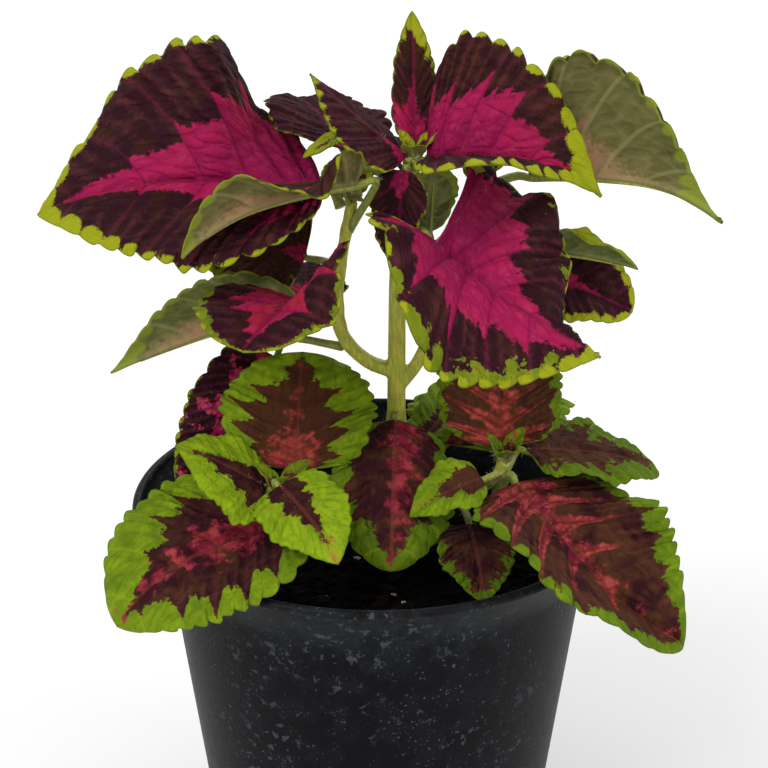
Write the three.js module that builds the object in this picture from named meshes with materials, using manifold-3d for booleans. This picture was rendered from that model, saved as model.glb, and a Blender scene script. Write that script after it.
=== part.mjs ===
// A coleus growing in its plastic nursery pot.
// Millimetres, +Z up. The origin is the centre of the pot's underside and the plant's front faces -Y.
import * as THREE from 'three';
import { mergeVertices } from 'three/addons/utils/BufferGeometryUtils.js';
import Module from 'manifold-3d';

const wasm = await Module();
wasm.setup();
const { Manifold, Mesh } = wasm;

// ---- driving dimensions ----------------------------------------------------------------------

const RIM_RADIUS = 65;          // outside of the rolled lip
const POT_HEIGHT = 110;
const BASE_RADIUS = 43;
const SHOULDER_RADIUS = 56;     // where the straight wall ends and the rim flares out
const SHOULDER_HEIGHT = 94;
const LIP_RADIUS = 1.3;         // of the bead that the lip is rolled into
const WALL = 1.6;
const DRAIN_HOLES = 6;
const DRAIN_RADIUS = 4;
const DRAIN_CIRCLE = 30;
const POT_SIDES = 36;

const SOIL_HEIGHT = 96;
const SOIL_SWELL = 1.2;         // how far the surface rises and dips
const GAP = 0.3;                // between pieces that touch

const BLADE = 0.8;              // thickness of a leaf
const ACROSS = 4;               // cells from margin to margin
const STALK_RADIUS = 1.1;
const STALK_SIDES = 5;
const STALK_STEPS = 3;
const KEEL = 0.12;              // share of the midrib that the stalk runs on under the blade

// ---- vectors ---------------------------------------------------------------------------------

const radians = THREE.MathUtils.degToRad;
const vec = (p) => new THREE.Vector3(...p);

// Turns the pair of unit vectors a, b in their own plane, a towards b.
function turn(a, b, degrees) {
  const c = Math.cos(radians(degrees));
  const s = Math.sin(radians(degrees));
  const turned = a.clone().multiplyScalar(c).addScaledVector(b, s);
  b.multiplyScalar(c).addScaledVector(a, -s);
  a.copy(turned);
}

function smooth(list, place) {
  const x = Math.min(Math.max(place, 0), 1) * (list.length - 1);
  const i = Math.min(Math.floor(x), list.length - 2);
  const f = x - i;
  const k = f * f * (3 - 2 * f);
  return list[i] * (1 - k) + list[i + 1] * k;
}

// A number that holds all along the leaf, or a list spread evenly from its base to its tip.
const spread = (value, place) => (Array.isArray(value) ? smooth(value, place) : value);

// ---- solids ----------------------------------------------------------------------------------

function solid(geometry) {
  geometry.deleteAttribute('normal');
  geometry.deleteAttribute('uv');
  const merged = mergeVertices(geometry, 1e-4);
  const source = merged.index.array;
  const faces = [];
  for (let i = 0; i < source.length; i += 3) {
    const [a, b, c] = source.slice(i, i + 3);
    if (a !== b && b !== c && c !== a) faces.push(a, b, c);
  }
  const mesh = new Mesh({
    numProp: 3,
    vertProperties: new Float32Array(merged.attributes.position.array),
    triVerts: new Uint32Array(faces),
  });
  return new Manifold(mesh);
}

function geometryOf(body) {
  const { vertProperties, triVerts } = body.getMesh();
  const geometry = new THREE.BufferGeometry();
  geometry.setAttribute('position', new THREE.BufferAttribute(vertProperties, 3));
  geometry.setIndex(new THREE.BufferAttribute(triVerts, 1));
  return geometry;
}

// Drops the scraps that a cut leaves loose.
const largest = (body) => body.decompose().reduce((a, b) => (a.volume() > b.volume() ? a : b));

// A tube with closed ends along a curve. girth(t) is its radius from start, 0, to end, 1.
function tube(points, girth, sides, steps, square = 0) {
  const path = new THREE.CatmullRomCurve3(points, false, 'centripetal');
  const frames = path.computeFrenetFrames(steps, false);
  const geometry = new THREE.CylinderGeometry(1, 1, 1, sides, steps);
  const place = geometry.attributes.position;
  for (let i = 0; i < place.count; i += 1) {
    const step = Math.round((0.5 - place.getY(i)) * steps);
    const t = step / steps;
    const angle = Math.atan2(place.getZ(i), place.getX(i));
    const reach = Math.hypot(place.getX(i), place.getZ(i)) * girth(t) * (1 + square * Math.cos(4 * angle));
    const point = path.getPointAt(t);
    point.addScaledVector(frames.normals[step], reach * Math.cos(angle));
    point.addScaledVector(frames.binormals[step], reach * Math.sin(angle));
    place.setXYZ(i, point.x, point.y, point.z);
  }
  return solid(geometry);
}

// ---- the leaf --------------------------------------------------------------------------------

// The shape of a leaf that its own entry doesn't change.
const USUAL = {
  roll: 0,              // degrees about the midrib, right side down
  bend: [0, 0],         // how far the midrib turns down over its first and second half
  sway: [0, 0],         // how far it turns right
  fold: [8, 8],         // how far the left and right half rise from the midrib
  curl: 0,              // how much further they turn up by the margin
  wave: 1.5,            // height of the waves in the margin
  waves: 2.5,
  phase: 0,
  teeth: 9,
  bite: 0.1,            // depth of the teeth, as a share of the half width
  lobes: 0.08,          // how far the base reaches back beside the stalk, or its left and right half
  belly: 0.5,
  point: 0.85,
};

const MIDRIB_STEPS = 32;

// Points and axes down the midrib: T along it, B to the right and N out of the upper face.
function midrib(leaf) {
  const heading = radians(leaf.heading);
  const pitch = radians(leaf.pitch);
  const T = vec([Math.cos(heading) * Math.cos(pitch), Math.sin(heading) * Math.cos(pitch), Math.sin(pitch)]);
  const B = new THREE.Vector3().crossVectors(T, vec([0, 0, 1])).normalize();
  const N = new THREE.Vector3().crossVectors(B, T);
  turn(N, B, leaf.roll);
  const P = vec(leaf.base);
  const rows = [{ P: P.clone(), T: T.clone(), B: B.clone(), N: N.clone() }];
  for (let i = 0; i < MIDRIB_STEPS; i += 1) {
    const half = i < MIDRIB_STEPS / 2 ? 0 : 1;
    const share = 2 / MIDRIB_STEPS;
    turn(T, N, -leaf.bend[half] * share);
    turn(T, B, leaf.sway[half] * share);
    P.addScaledVector(T, leaf.length / MIDRIB_STEPS);
    rows.push({ P: P.clone(), T: T.clone(), B: B.clone(), N: N.clone() });
  }
  return rows;
}

// A side vein leaves the midrib at vein() and meets the margin at reach(), nearer the tip.
const vein = (s) => s ** 1.4;
const reach = (s) => s ** 0.68;

function halfWidth(t, leaf) {
  const peak = leaf.belly / (leaf.belly + leaf.point);
  const shape = (x) => x ** leaf.belly * (1 - x) ** leaf.point;
  return (leaf.width / 2) * shape(t) / shape(peak);
}

function scallop(t, leaf) {
  const phase = leaf.teeth * t;
  const fade = Math.min(1, t / 0.12) * Math.min(1, Math.max(0, 0.985 - t) / 0.08);
  return 1 - leaf.bite * fade * (1 - Math.abs(Math.sin(Math.PI * phase)) ** 0.7);
}

// The point of the blade on side vein s, from 0 at the base to 1 at the tip, and at v from -1,
// the left margin, to 1, the right one.
function bladePoint(s, v, lift, leaf, rows) {
  const t = reach(s);
  const side = v < 0 ? 0 : 1;
  const sign = side ? 1 : -1;
  const lobes = Array.isArray(leaf.lobes) ? leaf.lobes[side] : leaf.lobes;
  const lobe = t < 0.4 ? lobes * Math.sin(Math.PI * t / 0.4) : 0;
  const along = vein(s) + Math.abs(v) ** 1.15 * (t - lobe - vein(s));
  const across = Math.abs(v) * halfWidth(t, leaf) * (1 - (1 - scallop(t, leaf)) * v ** 4);

  const place = along * MIDRIB_STEPS;
  const i = Math.min(Math.max(Math.floor(place), 0), MIDRIB_STEPS - 1);
  const f = Math.min(Math.max(place - i, 0), 1);
  const over = place - i - f;
  const mix = (key) => rows[i][key].clone().lerp(rows[i + 1][key], f);
  const row = { P: mix('P'), T: mix('T'), B: mix('B'), N: mix('N') };
  row.P.addScaledVector(row.T, over * leaf.length / MIDRIB_STEPS);

  const start = radians(spread(leaf.fold[side], along));
  const tightness = radians(leaf.curl) / (leaf.width / 2);
  const angle = start + tightness * across;
  const out = tightness ? (Math.sin(angle) - Math.sin(start)) / tightness : across * Math.cos(start);
  const up = tightness ? (Math.cos(start) - Math.cos(angle)) / tightness : across * Math.sin(start);
  const turns = leaf.waves * t + leaf.phase + 0.35 * side;
  const rise = leaf.wave * (across / (leaf.width / 2)) ** 2 * Math.sin(2 * Math.PI * turns) + lift;
  const tilt = angle * Math.min(1, across / BLADE);
  return row.P
    .addScaledVector(row.B, sign * (out - rise * Math.sin(tilt)))
    .addScaledVector(row.N, up + rise * Math.cos(tilt));
}

// Both faces of the blade have the same triangles, and a rim joins them.
function blade(leaf, rows) {
  const stations = leaf.teeth * 2;
  const sheet = new THREE.PlaneGeometry(2, 1, ACROSS, stations);
  const flat = sheet.attributes.position;
  const points = [];
  for (const lift of [BLADE / 2, -BLADE / 2]) {
    for (let i = 0; i < flat.count; i += 1) {
      const t = 0.5 - flat.getY(i);
      points.push(...bladePoint(t ** (1 / 0.68), flat.getX(i), lift, leaf, rows).toArray());
    }
  }
  const under = flat.count;
  const top = sheet.index.array;
  const faces = [];
  for (let i = 0; i < top.length; i += 3) {
    const [a, b, c] = top.slice(i, i + 3);
    faces.push(a, c, b, a + under, b + under, c + under);
  }
  const columns = ACROSS + 1;
  const rim = (a, b) => faces.push(a, b, b + under, a, b + under, a + under);
  for (let row = 0; row < stations; row += 1) {
    rim(row * columns, (row + 1) * columns);
    rim((row + 1) * columns + ACROSS, row * columns + ACROSS);
  }
  const geometry = new THREE.BufferGeometry();
  geometry.setAttribute('position', new THREE.Float32BufferAttribute(points, 3));
  geometry.setIndex(faces);
  return solid(geometry);
}

// The stalk leaves the stem at leaf.root and runs on under the midrib as its keel.
function stalk(leaf, rows) {
  const root = vec(leaf.root);
  const first = rows[0];
  const under = (row) => row.P.clone().addScaledVector(row.N, -0.5 * BLADE);
  const near = first.P.clone().addScaledVector(first.T, -0.3 * root.distanceTo(first.P));
  const points = [root, near, under(first)];
  const last = Math.round(KEEL * MIDRIB_STEPS);
  points.push(under(rows[Math.round(last / 2)]), under(rows[last]));
  const girth = (t) => STALK_RADIUS * leaf.stout * (1 - 0.55 * t);
  return tube(points, girth, STALK_SIDES, STALK_STEPS);
}

// ---- stems -----------------------------------------------------------------------------------

const SHOOTS = [
  { path: [[3, 0, 74], [4, 0, 96], [5, 0, 120], [5.2, 0, 150], [5.5, 0, 175], [7, 0, 192], [9.5, 0, 204]],
    thick: 3.1, thin: 1.9 },
  { path: [[5, 0, 146], [-3, -1, 150], [-9, -2, 158], [-10, -2, 170], [-8, -2, 184], [-6, -2, 194]],
    thick: 2, thin: 1.4 },
  { path: [[5, 0, 141], [11, 1, 149], [15, 3, 160], [17, 5, 174], [21, 7, 188], [26, 9, 194]],
    thick: 1.9, thin: 1.3 },
  { path: [[4, 0, 106], [-6, -10, 110], [-16, -22, 115], [-22, -31, 122], [-24, -34, 127]],
    thick: 2, thin: 1.3 },
  { path: [[4, 0, 106], [14, -5, 111], [24, -12, 117], [30, -17, 123], [33, -19, 129]],
    thick: 2, thin: 1.3 },
];

function shoot({ path, thick, thin }, extra = 0) {
  const girth = (t) => thick + (thin - thick) * t + extra;
  return tube(path.map(vec), girth, 8, (path.length - 1) * 2, 0.05);
}

function stems(extra = 0) {
  return SHOOTS.map((entry) => shoot(entry, extra)).reduce((all, next) => all.add(next));
}

const stemBody = stems();
const stemRoom = stems(GAP);

// ---- pot and soil ----------------------------------------------------------------------------

// The flare is a quarter wave from the straight wall out to the lip.
function flare(inset) {
  const points = [];
  const top = POT_HEIGHT - LIP_RADIUS;
  for (let i = 0; i <= 4; i += 1) {
    const t = i / 4;
    const radius = SHOULDER_RADIUS + (RIM_RADIUS - LIP_RADIUS - SHOULDER_RADIUS) * t ** 1.5;
    points.push(new THREE.Vector2(radius - inset, SHOULDER_HEIGHT + (top - SHOULDER_HEIGHT) * t));
  }
  return points;
}

function bead() {
  const centre = new THREE.Vector2(RIM_RADIUS - LIP_RADIUS, POT_HEIGHT - LIP_RADIUS);
  const points = [];
  for (let i = 0; i <= 6; i += 1) {
    const angle = radians(-60 + 40 * i);
    points.push(new THREE.Vector2(LIP_RADIUS * Math.cos(angle), LIP_RADIUS * Math.sin(angle)).add(centre));
  }
  return points;
}

function potBody() {
  const outside = flare(0).slice(0, -1);
  const inside = flare(WALL).slice(0, -1).reverse();
  const profile = [
    new THREE.Vector2(0, 0),
    new THREE.Vector2(BASE_RADIUS - 1, 0),
    new THREE.Vector2(BASE_RADIUS, 1),
    ...outside,
    ...bead(),
    ...inside,
    new THREE.Vector2(BASE_RADIUS - WALL, WALL),
    new THREE.Vector2(0, WALL),
  ];
  let body = solid(new THREE.LatheGeometry(profile, POT_SIDES).rotateX(Math.PI / 2));
  for (let i = 0; i < DRAIN_HOLES; i += 1) {
    const angle = (2 * Math.PI * i) / DRAIN_HOLES;
    const drill = new THREE.CylinderGeometry(DRAIN_RADIUS, DRAIN_RADIUS, 6 * WALL, 12).rotateX(Math.PI / 2);
    drill.translate(DRAIN_CIRCLE * Math.cos(angle), DRAIN_CIRCLE * Math.sin(angle), 0);
    body = body.subtract(solid(drill));
  }
  return body;
}

const swell = (x, y) => SOIL_SWELL * Math.sin(x / 9 + 1) * Math.cos(y / 11 - 0.5);

function soilBody() {
  const wallAt = (z) => BASE_RADIUS + (SHOULDER_RADIUS - BASE_RADIUS) * (z / SHOULDER_HEIGHT) - WALL;
  const edge = SOIL_HEIGHT - 4;
  const profile = [
    new THREE.Vector2(0, WALL + GAP),
    new THREE.Vector2(wallAt(WALL) - 1, WALL + GAP),
    new THREE.Vector2(wallAt(edge) - 1, edge),
  ];
  for (let i = 1; i <= 5; i += 1) {
    profile.push(new THREE.Vector2((wallAt(edge) - 1.5) * (1 - i / 5), SOIL_HEIGHT));
  }
  const geometry = new THREE.LatheGeometry(profile, 30).rotateX(Math.PI / 2);
  const place = geometry.attributes.position;
  for (let i = 0; i < place.count; i += 1) {
    if (place.getZ(i) > edge + 1) {
      place.setZ(i, place.getZ(i) + swell(place.getX(i), place.getY(i)));
    }
  }
  return solid(geometry).subtract(stemRoom);
}

// ---- the leaves ------------------------------------------------------------------------------

const CROWN = '#5a1f33';        // burgundy leaves with a magenta heart
const GREEN = '#6f8f26';        // lower leaves with a broad green margin

const LEAVES = {
  // the crown
  top_left: { base: [-14, 2, 197.5], root: [-9, -1, 192], heading: 186, pitch: 3, length: 73, width: 76,
    bend: [2, 24], fold: [[0, -8, -17, -17, -10], [5, 16, 74, 54, 24, 6]], waves: 2, lobes: 0.06,
    point: 0.82, teeth: 11, stout: 1.3 },
  crown_bud: { base: [-8.6, 5, 209.4], root: [8, 0, 200], heading: 203, pitch: -24, length: 12, width: 8,
    wave: 0.2, teeth: 4, bite: 0.05, stout: 0.6 },
  rolled_left: { base: [-5, -13, 202.6], root: [-7, -2, 186], heading: 211, pitch: 2, length: 51,
    width: 33, bend: [8, 30], fold: [[50, 55, 20, 34, 72, 80, 72], -12], waves: 1.6, phase: 0.1,
    belly: 0.45, point: 0.8 },
  crown_left: { base: [8, -1.5, 206], root: [9, 0, 199], heading: 164, pitch: 32, length: 32, width: 28,
    bend: [-5, -5], fold: [-15, -15], wave: 0.5, waves: 1, point: 1.1, teeth: 8 },
  top_right: { base: [12.6, -1, 205], root: [9.5, 0, 201], heading: -8, pitch: 4, length: 46.5, width: 66,
    bend: [6, 36], fold: [[60, 64, 64, 46, 30], [15, 15, 15, 12, 0]], waves: 2, lobes: [0.02, 0.12],
    belly: 0.46, point: 1.3, stout: 1.2 },
  crown_tip: { base: [9.6, 5.6, 206.6], root: [9.5, 1, 203], heading: 92, pitch: 64, length: 34,
    width: 13.5, fold: [30, -12], wave: 0.5, teeth: 7 },
  back_right: { base: [40, 13, 196], root: [26, 9, 193], heading: -10, pitch: 4, roll: -6, length: 52,
    width: 68, bend: [8, 34], fold: [60, [80, 84, 84, 84, 84]], waves: 2, belly: 0.9, point: 2.3,
    stout: 1.2 },
  crown_front: { base: [7, -4.6, 203], root: [8, 0, 198], heading: -119, pitch: -78, length: 25, width: 16.5,
    fold: [14, 8], teeth: 7 },
  back_top: { base: [-8, 11, 203.5], root: [8, 0, 198], heading: 111, pitch: 12, roll: 8, length: 40,
    width: 34, bend: [4, 24] },
  young_left: { base: [-6.9, -3, 195], root: [-6, -2, 191], heading: -124, pitch: 62, length: 14, width: 13,
    fold: [-8, -8], wave: 0.5, teeth: 5, stout: 0.7 },
  young_right: { base: [13.6, 2.4, 184], root: [7, 0, 182], heading: -75, pitch: 80, length: 19, width: 14,
    fold: [-8, -8], wave: 0.5, belly: 0.9, point: 0.5, teeth: 6, stout: 0.7 },

  // the middle
  front_right: { base: [14.5, -13.2, 187], root: [7, 0, 178], heading: -43, pitch: -26, roll: 4, length: 52,
    width: 62, bend: [-4, 12], sway: [-10, -20], fold: [[20, 38, 8, -30, -40], [41, 16, -22, -34, -26]],
    curl: -15, wave: 2, waves: 2, lobes: [0.46, 0.3], belly: 0.45, point: 1, teeth: 11, stout: 1.2 },
  small_right: { base: [38, 5, 179.5], root: [20, 6, 184], heading: -8, pitch: -6, length: 30, width: 20,
    bend: [2, 8], fold: [20, 50], teeth: 7 },
  side_right: { base: [36, 9, 172.5], root: [17, 5, 172], heading: -18, pitch: -12, roll: 25, length: 33,
    width: 28, bend: [5, 10], fold: [20, 10], point: 0.6, teeth: 8 },
  side_left: { base: [-19, -5.5, 167.8], root: [-10, -2, 165], heading: 194, pitch: -13, length: 52,
    width: 32, bend: [2, 5], fold: [[60, 85, 85, 85], 0], wave: 1, waves: 1.5, belly: 1, point: 1.35 },
  hanging_left: { base: [-17.2, -21.7, 174], root: [-9.5, -2, 174], heading: -115, pitch: 14, length: 35,
    width: 44, bend: [10, 24], fold: [[64, 50, 16, 4], 4], lobes: 0.27, belly: 0.45, point: 0.55,
    teeth: 8 },
  inner_left: { base: [-18.5, 11.2, 174.2], root: [-9.5, -2, 176], heading: 172, pitch: 10, roll: -32,
    length: 30, width: 38, bend: [0, 20], teeth: 8 },
  back_middle: { base: [-14, 10, 160], root: [-9.5, -2, 160], heading: 140, pitch: 4, length: 50,
    width: 36, bend: [10, 34] },
  low_left: { base: [-26.5, 6, 147.5], root: [-9, -2, 154], heading: 206, pitch: -50, roll: -55, length: 46,
    width: 28, bend: [4, 4], fold: [5, 5], point: 0.9 },

  // the lower shoots
  upright_left: { base: [-21, -20.5, 127.5], root: [-18, -25, 115], heading: 86, pitch: 42, length: 33,
    width: 42, bend: [-6, 10], fold: [6, 6], wave: 2, point: 0.6, belly: 0.55, green: true },
  shoot_left: { base: [-27.6, -33.5, 129.3], root: [-24.5, -32.8, 123.5], heading: 188, pitch: 32, roll: -10,
    length: 26, width: 34, bend: [0, 10], fold: [-12, -4], point: 1, teeth: 8, green: true },
  shoot_front: { base: [-24, -39, 132], root: [-23.2, -34.8, 125.5], heading: -54, pitch: -12, length: 28,
    width: 24, bend: [10, 20], fold: [20, -15], point: 0.9, teeth: 8, green: true },
  rim_left: { base: [-21, -29, 117.5], root: [-13, -18, 112], heading: -152, pitch: -2, length: 55,
    width: 54, bend: [10, 42], fold: [[10, -10, -16], 18], wave: 1, point: 0.7, teeth: 11, stout: 1.2,
    green: true },
  front: { base: [5, -6, 135], root: [5, 0, 131], heading: -92, pitch: -22, length: 46, width: 34,
    bend: [6, 26], fold: [-18, -6], wave: 2.5, waves: 2, point: 0.65, belly: 0.6, green: true },
  small_front: { base: [26.5, -29.5, 129.5], root: [26, -14, 118], heading: -160, pitch: -12, roll: -18,
    length: 21, width: 18, bend: [10, 20], fold: [10, 10], point: 1, teeth: 7, green: true },
  upright_right: { base: [32, -14, 131], root: [31, -17, 122], heading: 90, pitch: 36, length: 38,
    width: 34, bend: [-6, 0], fold: [6, 6], point: 0.6, green: true },
  low_right: { base: [39, -14, 130.5], root: [33, -19, 126], heading: 8, pitch: -4, roll: 4, length: 37,
    width: 36, bend: [6, 24], fold: [0, 4], point: 0.7, green: true },
  rim_right: { base: [36, -25, 126], root: [31, -18, 120], heading: -54, pitch: -26, length: 61,
    width: 52, bend: [6, 8], sway: [-8, -36], fold: [[-4, 8, 30, 34, 30], [2, 20, 28, 32, 28]], point: 0.7,
    lobes: 0.06, teeth: 11, stout: 1.2, green: true },
  soil_front: { base: [24, -25, 114], root: [22, -11, 113], heading: -82, pitch: -14, length: 25,
    width: 21, bend: [10, 20], fold: [5, 5], teeth: 8, green: true },
  inner_back: { base: [12, 8, 122], root: [5, 0, 114], heading: 60, pitch: 20, length: 26, width: 16,
    bend: [10, 30], fold: [15, 15], teeth: 7, green: true },
  back_low_left: { base: [-10, 14, 119], root: [3, 0, 108], heading: 140, pitch: 14, length: 50,
    width: 44, bend: [12, 40], green: true },
  back_low_right: { base: [18, 14, 119], root: [6, 0, 108], heading: 45, pitch: 14, length: 50,
    width: 44, bend: [12, 40], green: true },
};

const leafBodies = {};
for (const [name, entry] of Object.entries(LEAVES)) {
  const leaf = { ...USUAL, stout: 1, ...entry };
  const rows = midrib(leaf);
  leafBodies[name] = largest(blade(leaf, rows).add(stalk(leaf, rows)).subtract(stemRoom));
}

// ---- the scene -------------------------------------------------------------------------------

function piece(name, body, color, roughness) {
  const mesh = new THREE.Mesh(geometryOf(body), new THREE.MeshStandardMaterial({ color, roughness }));
  mesh.name = name;
  return mesh;
}

const plant = new THREE.Group();
plant.add(piece('pot', potBody(), '#202024', 0.5));
plant.add(piece('soil', soilBody(), '#17110e', 0.95));
plant.add(piece('stems', stemBody, '#8f8a34', 0.6));
for (const [name, body] of Object.entries(leafBodies)) {
  plant.add(piece(`leaf_${name}`, body, LEAVES[name].green ? GREEN : CROWN, 0.6));
}

export default plant;
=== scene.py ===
"""A coleus growing in its black nursery pot. Metres, +Z up, origin under the middle of the pot."""

import math
import random
import zlib
from types import SimpleNamespace

import bmesh
import bpy
import numpy as np
from mathutils import Matrix, Quaternion, Vector, noise


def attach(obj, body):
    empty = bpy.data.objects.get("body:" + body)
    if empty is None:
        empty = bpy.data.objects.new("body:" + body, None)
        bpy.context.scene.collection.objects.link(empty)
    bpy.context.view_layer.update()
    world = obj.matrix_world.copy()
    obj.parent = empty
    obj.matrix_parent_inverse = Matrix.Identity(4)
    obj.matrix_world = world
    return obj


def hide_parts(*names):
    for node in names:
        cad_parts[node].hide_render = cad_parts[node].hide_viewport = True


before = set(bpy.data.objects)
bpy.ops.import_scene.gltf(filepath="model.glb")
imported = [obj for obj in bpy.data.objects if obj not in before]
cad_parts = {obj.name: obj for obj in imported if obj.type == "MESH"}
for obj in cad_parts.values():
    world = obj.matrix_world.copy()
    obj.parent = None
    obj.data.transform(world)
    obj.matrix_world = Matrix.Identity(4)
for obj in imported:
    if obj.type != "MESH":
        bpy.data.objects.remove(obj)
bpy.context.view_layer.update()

MM = 0.001

# ---- camera, lights and world ----

RIM_HEIGHT = 110.0
SOIL_HEIGHT = 96.0
VIEW_DISTANCE = 700.0
VIEW_ELEVATION = math.radians(26.1)
VIEW_PITCH = math.radians(23.66)
VIEW_OFFSET = 1.9
LENS = 123.05


def linked(name, data):
    """A new object with this data, in the scene."""
    made = bpy.data.objects.new(name, data)
    bpy.context.scene.collection.objects.link(made)
    return made


def place_camera():
    data = bpy.data.cameras.new("camera")
    data.lens = LENS
    data.sensor_width = 36.0
    data.clip_start = 0.02
    camera = linked("camera", data)
    out = -VIEW_DISTANCE * math.cos(VIEW_ELEVATION)
    up = RIM_HEIGHT + VIEW_DISTANCE * math.sin(VIEW_ELEVATION)
    camera.location = Vector((VIEW_OFFSET, out, up)) * MM
    camera.rotation_euler = (math.pi / 2 - VIEW_PITCH, 0, 0)
    bpy.context.scene.camera = camera


def soft_light(name, place, size, watts):
    data = bpy.data.lights.new(name, "AREA")
    data.shape = "DISK"
    data.size = size
    data.energy = watts
    light = linked(name, data)
    light.location = place
    aim = Vector((0, 0, 0.14)) - light.location
    light.rotation_euler = aim.to_track_quat("-Z", "Y").to_euler()


place_camera()
soft_light("window", (-0.75, -0.9, 1.35), 0.9, 13.0)
soft_light("fill", (1.1, -0.7, 0.8), 1.0, 5.0)
soft_light("behind", (0.3, 1.1, 1.1), 0.8, 6.0)
world = bpy.data.worlds.new("studio")
world.use_nodes = True
sky = world.node_tree.nodes["Background"].inputs
sky["Color"].default_value = (1.0, 1.0, 1.0, 1.0)
sky["Strength"].default_value = 0.72
bpy.context.scene.world = world
bpy.context.scene.view_settings.view_transform = "Standard"


# ---- materials ----


def tint(red, green, blue):
    """A colour given as on a screen, 0 to 255, made linear."""

    def linear(c):
        c /= 255
        return c / 12.92 if c <= 0.04045 else ((c + 0.055) / 1.055) ** 2.4

    return (linear(red), linear(green), linear(blue), 1.0)


class Finish:
    """A material and the few kinds of node that the finishes here are mixed from."""

    def __init__(self, name, roughness=0.5, sheen=0.0, specular=0.5):
        self.material = bpy.data.materials.new(name)
        self.material.use_nodes = True
        self.tree = self.material.node_tree
        self.surface = self.tree.nodes["Principled BSDF"]
        self.surface.inputs["Roughness"].default_value = roughness
        self.surface.inputs["Sheen Weight"].default_value = sheen
        self.surface.inputs["Specular IOR Level"].default_value = specular

    def node(self, kind, **settings):
        made = self.tree.nodes.new(kind)
        for key, value in settings.items():
            setattr(made, key, value)
        return made

    def feed(self, socket, value):
        if isinstance(value, bpy.types.NodeSocket):
            self.tree.links.new(value, socket)
        else:
            socket.default_value = value

    def math(self, operation, a, b):
        made = self.node("ShaderNodeMath", operation=operation)
        self.feed(made.inputs[0], a)
        self.feed(made.inputs[1], b)
        return made.outputs[0]

    def times(self, a, b):
        return self.math("MULTIPLY", a, b)

    def plus(self, *terms):
        total = terms[0]
        for term in terms[1:]:
            total = self.math("ADD", total, term)
        return total

    def rest(self, share):
        return self.math("SUBTRACT", 1.0, share)

    def step(self, value, low, high):
        made = self.node("ShaderNodeMapRange", interpolation_type="SMOOTHSTEP")
        self.feed(made.inputs["Value"], value)
        made.inputs["From Min"].default_value = low
        made.inputs["From Max"].default_value = high
        return made.outputs[0]

    def mix(self, share, a, b):
        made = self.node("ShaderNodeMix", data_type="RGBA")
        self.feed(made.inputs[0], share)
        for socket, colour in ((made.inputs[6], a), (made.inputs[7], b)):
            self.feed(socket, tint(*colour) if isinstance(colour, tuple) else colour)
        return made.outputs[2]

    def noise(self, where, scale, detail=2.0, rough=0.5):
        made = self.node("ShaderNodeTexNoise")
        self.feed(made.inputs["Vector"], where)
        made.inputs["Scale"].default_value = scale
        made.inputs["Detail"].default_value = detail
        made.inputs["Roughness"].default_value = rough
        return made.outputs[0]

    def drawn(self, name):
        """The three numbers that a piece's mesh carries under this name."""
        made = self.node("ShaderNodeAttribute", attribute_name=name)
        parts = self.node("ShaderNodeSeparateXYZ")
        self.feed(parts.inputs[0], made.outputs["Vector"])
        return parts.outputs[0], parts.outputs[1], parts.outputs[2], made.outputs["Vector"]

    def where(self):
        return self.node("ShaderNodeTexCoord").outputs["Object"]

    def finish(self, colour, roughness=None, height=None, depth=0.0):
        self.feed(self.surface.inputs["Base Color"], colour)
        if roughness is not None:
            self.feed(self.surface.inputs["Roughness"], roughness)
        if height is not None:
            bump = self.node("ShaderNodeBump")
            bump.inputs["Distance"].default_value = depth
            bump.inputs["Strength"].default_value = 1.0
            self.feed(bump.inputs["Height"], height)
            self.feed(self.surface.inputs["Normal"], bump.outputs[0])
        return self.material


LINE = 0.26  # half width in mm of a side vein's line


def vein_lines(f, turns, gap, across, side, middle):
    """1 on the side veins and 1 on the midrib, each fading out over a band of distances in mm."""
    off_vein = f.times(f.math("PINGPONG", turns, 0.5), gap)
    return f.rest(f.step(off_vein, *side)), f.rest(f.step(across, *middle))


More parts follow.
